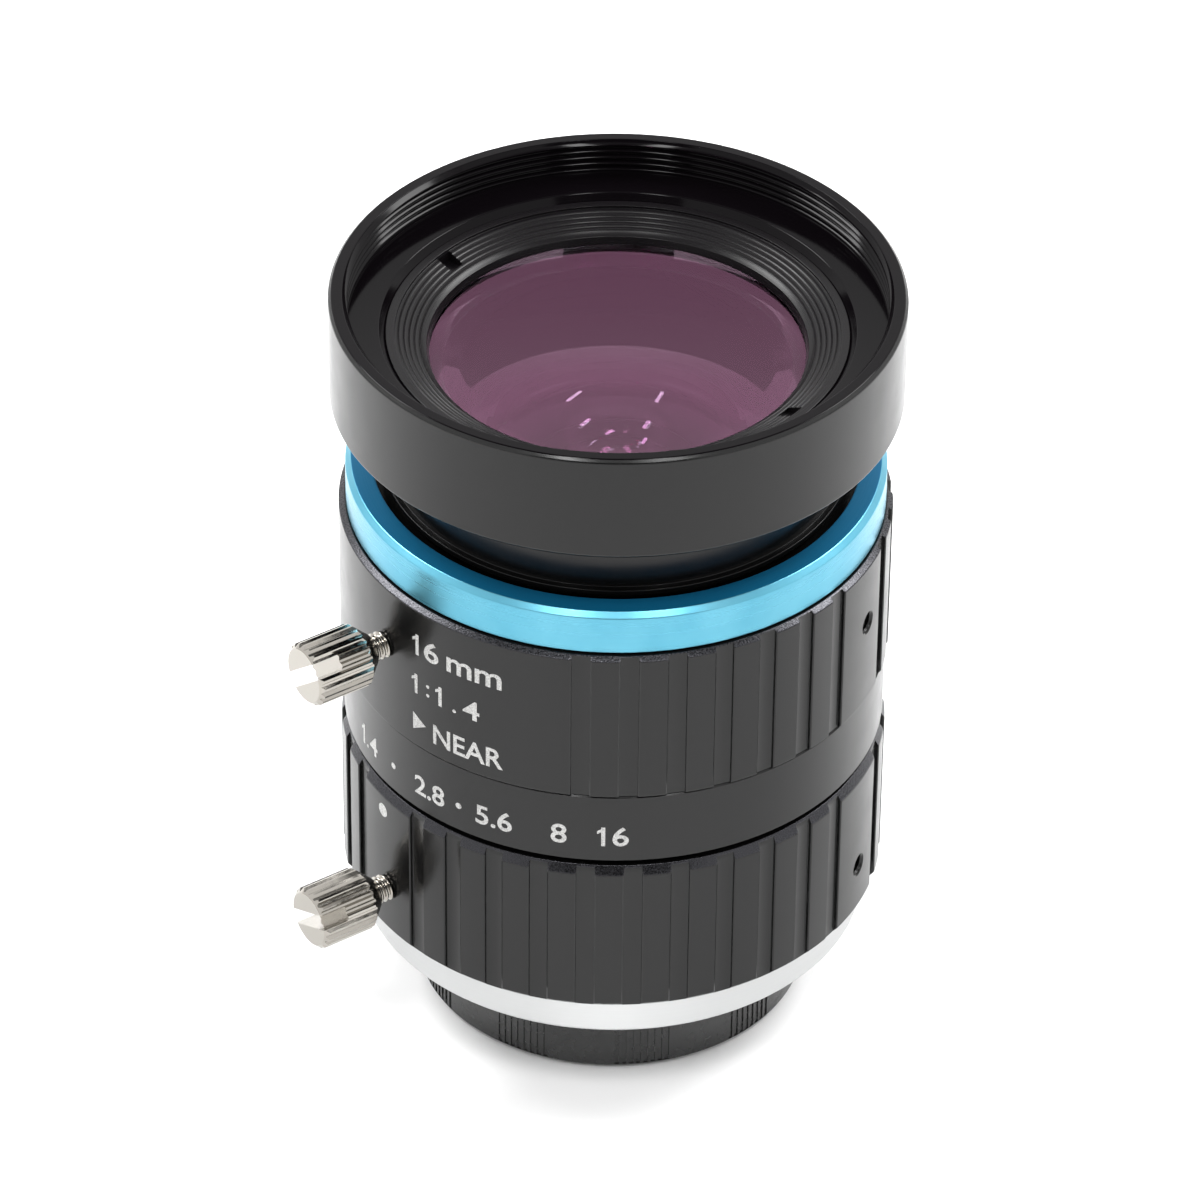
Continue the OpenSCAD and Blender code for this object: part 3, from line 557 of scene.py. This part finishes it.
bezel = surface(
    "front_ring",
    threaded(bezel_profile, FILTER_LOW, FILTER_HIGH, FILTER_R, -FILTER_DEPTH, FILTER_PITCH, turns=400),
    "lens_cell", black_anodised)
RIM_OUT, FLOOR_FOOT = 19.3, 44.5
# The faces inside the rim, floor included, get the darker black: painted shade.
second_finish(bezel, glossy_black_painted_shade, lambda up, away, z: (away < RIM_OUT) & (z > FLOOR_FOOT))
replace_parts(bezel, "front_bezel")

# ---------------------------------------------------------------- Front retaining ring
# A black anodised aluminium ring, screwed in to hold the front glass. Its face has five fine
# turned ridges that break up stray light, and two milled notches take a spanner.
RIDGES, RIDGE_PITCH, RIDGE_HALF, RIDGE_H, FACE_SLOPE = 5, 0.36, 0.08, 0.07, 0.42
NOTCH_HALF, NOTCH_Z, NOTCH_AT, FACE_FOOT = 0.6, 45.8, (53.0, 233.0), 45.5
ridge_edges = [(15.65, 45.15, 0.05), (15.65, 46.8, 0.05), (15.04, 46.8, 0.04), (15.04, 46.62, 0.02)]
for k in range(RIDGES):
    for share, high in ((1, 0), (0.5, 0.5), (0, 1), (-0.5, 0.5), (-1, 0)):
        at = 14.8 - RIDGE_PITCH * k + RIDGE_HALF * share
        ridge_edges.append((at, 46.62 - FACE_SLOPE * (15.04 - at) + RIDGE_H * high, 0.0))
ridge_edges += [(12.9, 45.68, 0.03), (12.7, 45.15, 0.04)]

# Black anodised aluminium as turned: satin, with rings of 0.1 mm.
turned_black, tree, shader = finish_of(
    "turned_black_anodised", Base_Color=srgb("#0e0c0e"), Metallic=0.0, IOR=1.28)
marks = lathe_marks(tree, 0.1)
roughen(tree, shader, marks, 0.22, 0.34)
dent(tree, shader, [(marks, 0.002, 0.3)])


def notched(profile, angles, low_r, high_r):
    """A turned ring in which two slots, a few tenths either side of the given angles, are sunk to one
    height: the profile gets double rows at both ends of the slot and the turn double columns."""
    half_turn = np.degrees(NOTCH_HALF / 13.9)
    edge = [np.array([-half_turn - 0.02, -half_turn, 0, half_turn, half_turn + 0.02]) + m for m in angles]
    a = np.sort(np.concatenate([np.arange(0, 360, 1.0), np.concatenate(edge) % 360]))
    top = profile[profile[:, 1] > FACE_FOOT]
    top = top[np.argsort(-top[:, 0], kind="stable")]
    for r in (high_r + 0.001, high_r, low_r, low_r - 0.001):
        z = np.interp(-r, -top[:, 0], top[:, 1])
        at = np.flatnonzero((profile[:, 0] > r) & (profile[:, 1] > FACE_FOOT))[-1] + 1
        profile = np.insert(profile, at, (r, z), axis=0)
    r, z = np.repeat(profile[None, :, 0], len(a), 0), np.repeat(profile[None, :, 1], len(a), 0)
    off = np.abs((a[:, None] - np.array(angles)[None] + 180) % 360 - 180)
    near = np.min(off, axis=1) < half_turn + 0.005
    sunk = near[:, None] & (r <= high_r) & (r >= low_r) & (z > FACE_FOOT)
    z = np.where(sunk, NOTCH_Z, z)
    turn = np.radians(a)[:, None]
    return np.stack([r * np.sin(turn), -r * np.cos(turn), z], axis=-1)


retainer = surface("ridged_retainer", notched(rounded(ridge_edges), NOTCH_AT, 13.78, 15.03),
                   "lens_cell", turned_black, crease=50)
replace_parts(retainer, "front_retainer")

# ---------------------------------------------------------------- Glass
# Six ground and polished elements: spherical caps on a ground rim. The outer faces carry the purple
# bloom of a multilayer coating, and the cemented pair shares one face.

CAP_POINTS = 28


def sag(x, radius):
    """Height that a sphere falls away at the distance x from its axis: R less the root of R2 less x2."""
    return radius - np.sqrt(radius * radius - x * x)


def lens(name, rim, low, high, top, top_w, under, under_w, material, body="lens_cell"):
    """A glass element between two spheres of the given radii and widths. A negative radius is hollow."""
    x = np.linspace(0, 1, CAP_POINTS)
    t, u = top_w * x, under_w * x[::-1]
    above = np.column_stack([t, high + np.sign(top) * (sag(top_w, abs(top)) - sag(t, abs(top)))])
    below = np.column_stack([u, low - np.sign(under) * (sag(under_w, abs(under)) - sag(u, abs(under)))])
    edge = [[rim, high]] if top_w < rim else []
    edge += [[rim, low]] if under_w < rim else []
    profile = np.concatenate([above, np.array(edge).reshape(-1, 2), below])[::-1]
    piece = surface(name + "_glass", turned(profile, 180), body, material, loop=False)
    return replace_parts(piece, name)


# Coated optical glass of IOR 1.65: clear, with a purple tint in its reflection.
coated_glass, tree, shader = finish_of(
    "coated_optical_glass", Base_Color=srgb("#dccfda"), Roughness=0.0, IOR=1.65,
    Transmission_Weight=1.0, Specular_Tint=srgb("#ff7ad0"))
# Plain optical glass of IOR 1.6, with a thinner coating that leaves a paler tint.
clear_glass, tree, shader = finish_of(
    "optical_glass", Base_Color=srgb("#eef3ee"), Roughness=0.0, IOR=1.6,
    Transmission_Weight=1.0, Specular_Tint=srgb("#d880b8"))

lens("front_element", 14.0, 42.57, 45.12, -150, 14.0, -60, 10.8, coated_glass)
lens("second_element", 12.95, 34.55, 37.0, 45, 12.95, -16, 9.5, clear_glass)
lens("third_element", 10.95, 21.51, 24.01, 20, 10.95, 30, 9.4, clear_glass)
lens("rear_element", 9.25, -1.77, 0.53, 43, 9.25, 30, 7.6, coated_glass)
lens("rear_flint", 9.25, 1.83, 7.43, -14, 9.25, -40, 8.65, clear_glass)
lens("rear_crown", 9.25, 7.45, 7.95, 33, 9.25, 14, 9.25, clear_glass)

# ---------------------------------------------------------------- Lens cell and spacers
# The sliding cell, its spacers and the rear group's tube are turned from aluminium and anodised
# dull black against stray light. They are hidden, or seen dimly through the glass.

# Dull black anodised aluminium: rougher than the outside, with turning marks at 0.2 mm.
dull_black, tree, shader = finish_of("dull_black_anodised", Base_Color=srgb("#121212"), Metallic=0.0, IOR=1.5)
marks = lathe_marks(tree, 0.2)
roughen(tree, shader, marks, 0.42, 0.55)
dent(tree, shader, [(marks, 0.01, 0.5)])
for name in ("cell_tube", "front_spacer", "long_spacer", "iris_base", "iris_cover", "rear_cell",
             "rear_spacer", "rear_retainer"):
    paint(name, dull_black)

# ---------------------------------------------------------------- Iris
# Five blades are punched from 0.08 mm spring steel, blackened and riveted with two pins each. The
# drive ring with its five cam slots is brass, and a steel pin joins it to the aperture ring.

# Blackened steel: thin oxide over rolled sheet, with a dull sheen.
blade_steel, tree, shader = finish_of("blackened_steel", Base_Color=srgb("#2c2b2c"), Metallic=0.7)
film = grains(tree, 0.4, 3.0)
roughen(tree, shader, film, 0.35, 0.5)
dent(tree, shader, [(film, 0.004, 0.2)])
for k in range(5):
    paint(f"iris_blade_{k + 1}", blade_steel)

# Turned brass and ground steel for the parts that slide on each other.
brass, tree, shader = finish_of("turned_brass", Base_Color=srgb("#b99a5b"), Metallic=1.0)
marks = lathe_marks(tree, 0.15)
roughen(tree, shader, marks, 0.25, 0.4)
dent(tree, shader, [(marks, 0.006, 0.4)])
steel, tree, shader = finish_of("ground_steel", Base_Color=srgb("#b4b2ae"), Metallic=1.0)
scratches = grains(tree, 0.12, 3.0)
roughen(tree, shader, scratches, 0.22, 0.36)
dent(tree, shader, [(scratches, 0.003, 0.3)])
for name, metal in (("iris_drive_ring", brass), ("focus_stop_ring", brass),
                    ("aperture_pin", steel), ("guide_key", steel)):
    paint(name, metal)

# ---------------------------------------------------------------- Rear cap
# The dust cap is moulded from black ABS and screws over the mount thread. Ten groups of fine ribs
# round its wall give the fingers a grip.

# Black ABS from a polished mould: glossy, with a faint orange peel of about 0.8 mm.
black_abs, tree, shader = finish_of("moulded_black_abs", Base_Color=srgb("#1b1b1b"), Metallic=0.0, IOR=1.54)
peel = grains(tree, 0.8, 2.0)
roughen(tree, shader, peel, 0.22, 0.30)
dent(tree, shader, [(peel, 0.004, 0.2)])
paint("rear_cap", black_abs)

# ---------------------------------------------------------------- Table, light and camera
# The lens stands on a white table in a white tent with a grey roof. Two soft boxes above the camera
# light it, and two lamps wash the table beside it. The camera looks down at 37 degrees through a long
# lens, as the photograph's does.

FLOOR_Z = -6.8
table = bpy.data.meshes.new("white_table")
half = 1500.0
table.from_pydata((np.array([(-half, -half, FLOOR_Z), (half, -half, FLOOR_Z), (half, half, FLOOR_Z),
                             (-half, half, FLOOR_Z)]) * MM).tolist(), [], [(0, 1, 2, 3)])
table_paint, tree, shader = finish_of("white_table_paint", Base_Color=srgb("#f4f4f4"), Roughness=0.7)
table.materials.append(table_paint)
table_object = bpy.data.objects.new("white_table", table)
bpy.context.scene.collection.objects.link(table_object)

world = bpy.data.worlds.new("white_tent")
world.use_nodes = True
background = world.node_tree.nodes["Background"]
background.inputs["Strength"].default_value = 1.35
sky = node(world.node_tree, "ShaderNodeTexCoord")
height = node(world.node_tree, "ShaderNodeSeparateXYZ", {}, {0: sky.outputs["Generated"]})
fade = node(world.node_tree, "ShaderNodeValToRGB", {}, {"Fac": height.outputs["Z"]})
fade.color_ramp.elements[0].position, fade.color_ramp.elements[0].color = 0.72, srgb("#ffffff")
fade.color_ramp.elements[1].position, fade.color_ramp.elements[1].color = 0.88, srgb("#5a5a5a")
world.node_tree.links.new(fade.outputs["Color"], background.inputs["Color"])
bpy.context.scene.world = world


def soft_box(name, azimuth, elevation, distance, width, height, watts):
    """A rectangular lamp in metres at an azimuth and elevation round the lens, turned towards it."""
    lamp = bpy.data.lights.new(name, "AREA")
    lamp.shape, lamp.size, lamp.size_y, lamp.energy = "RECTANGLE", width, height, watts
    a, e = math.radians(azimuth), math.radians(elevation)
    back = Vector((math.sin(a) * math.cos(e), -math.cos(a) * math.cos(e), math.sin(e)))
    holder = bpy.data.objects.new(name, lamp)
    holder.location = Vector((0, 0, 0.025)) + back * distance
    holder.rotation_euler = back.to_track_quat("Z", "Y").to_euler()
    bpy.context.scene.collection.objects.link(holder)
    return holder


soft_box("soft_box_left", -23, 58, 0.9, 0.09, 0.35, 2.6)
soft_box("soft_box_right", 23, 58, 0.9, 0.09, 0.35, 2.6)
for side in (-1, 1):
    wash = soft_box("table_lamp_" + ("left" if side < 0 else "right"), 0, 90, 0.45, 0.3, 0.3, 5.0)
    wash.location = (side * 0.45, 0.22, 0.5)
    wash.visible_transmission = False

# Short greenish flash tubes hang behind the lens. Each glass face mirrors them as small glints. Each is
# given by its azimuth and elevation, its length in metres and how far it leans.
FLASH_TUBES = [(198, 54, 0.06, -50), (162, 54, 0.06, 0), (200, 67, 0.04, -55),
               (160, 68, 0.04, 0), (186, 73, 0.03, -50), (152, 75, 0.03, 10)]
for k, (azimuth, elevation, length, lean) in enumerate(FLASH_TUBES):
    tube = soft_box(f"flash_tube_{k + 1}", azimuth, elevation, 0.6, 0.010, length, 7.0 * length)
    tube.rotation_euler.rotate_axis("Z", math.radians(lean))
    tube.data.color = (0.5, 1.0, 0.7)
    tube.visible_diffuse = tube.visible_glossy = False

# The dark room shows through the tent's opening behind the camera: a card that the metal reflects.
dark_card = bpy.data.meshes.new("dark_card")
dark_card.from_pydata([(-0.32, -0.62, 0.16), (0.32, -0.62, 0.16), (0.32, -0.46, 0.62), (-0.32, -0.46, 0.62)],
                      [], [(0, 1, 2, 3)])
dark_cloth, tree, shader = finish_of("dark_cloth", Base_Color=srgb("#1c1c1c"), Roughness=0.9)
dark_card.materials.append(dark_cloth)
dark_object = bpy.data.objects.new("dark_card", dark_card)
bpy.context.scene.collection.objects.link(dark_object)

ELEVATION, ROLL, DISTANCE = math.radians(36.979), math.radians(0.598), 0.495245
TARGET = Vector((-1.013, 0, 24.046)) * MM
back = Vector((0, -math.cos(ELEVATION), math.sin(ELEVATION)))
right = Vector((1, 0, 0))
up = back.cross(right)
tilted_right = right * math.cos(ROLL) + up * math.sin(ROLL)
tilted_up = up * math.cos(ROLL) - right * math.sin(ROLL)
camera_data = bpy.data.cameras.new("photo_camera")
camera_data.sensor_width, camera_data.lens = 36.0, 214.548
camera_data.clip_start, camera_data.clip_end = 0.01, 20.0
camera = bpy.data.objects.new("photo_camera", camera_data)
camera.matrix_world = Matrix.Translation(TARGET + back * DISTANCE) @ Matrix(
    (tilted_right, tilted_up, back)).transposed().to_4x4()
bpy.context.scene.collection.objects.link(camera)
bpy.context.scene.camera = camera

bpy.context.scene.view_settings.view_transform = "Standard"
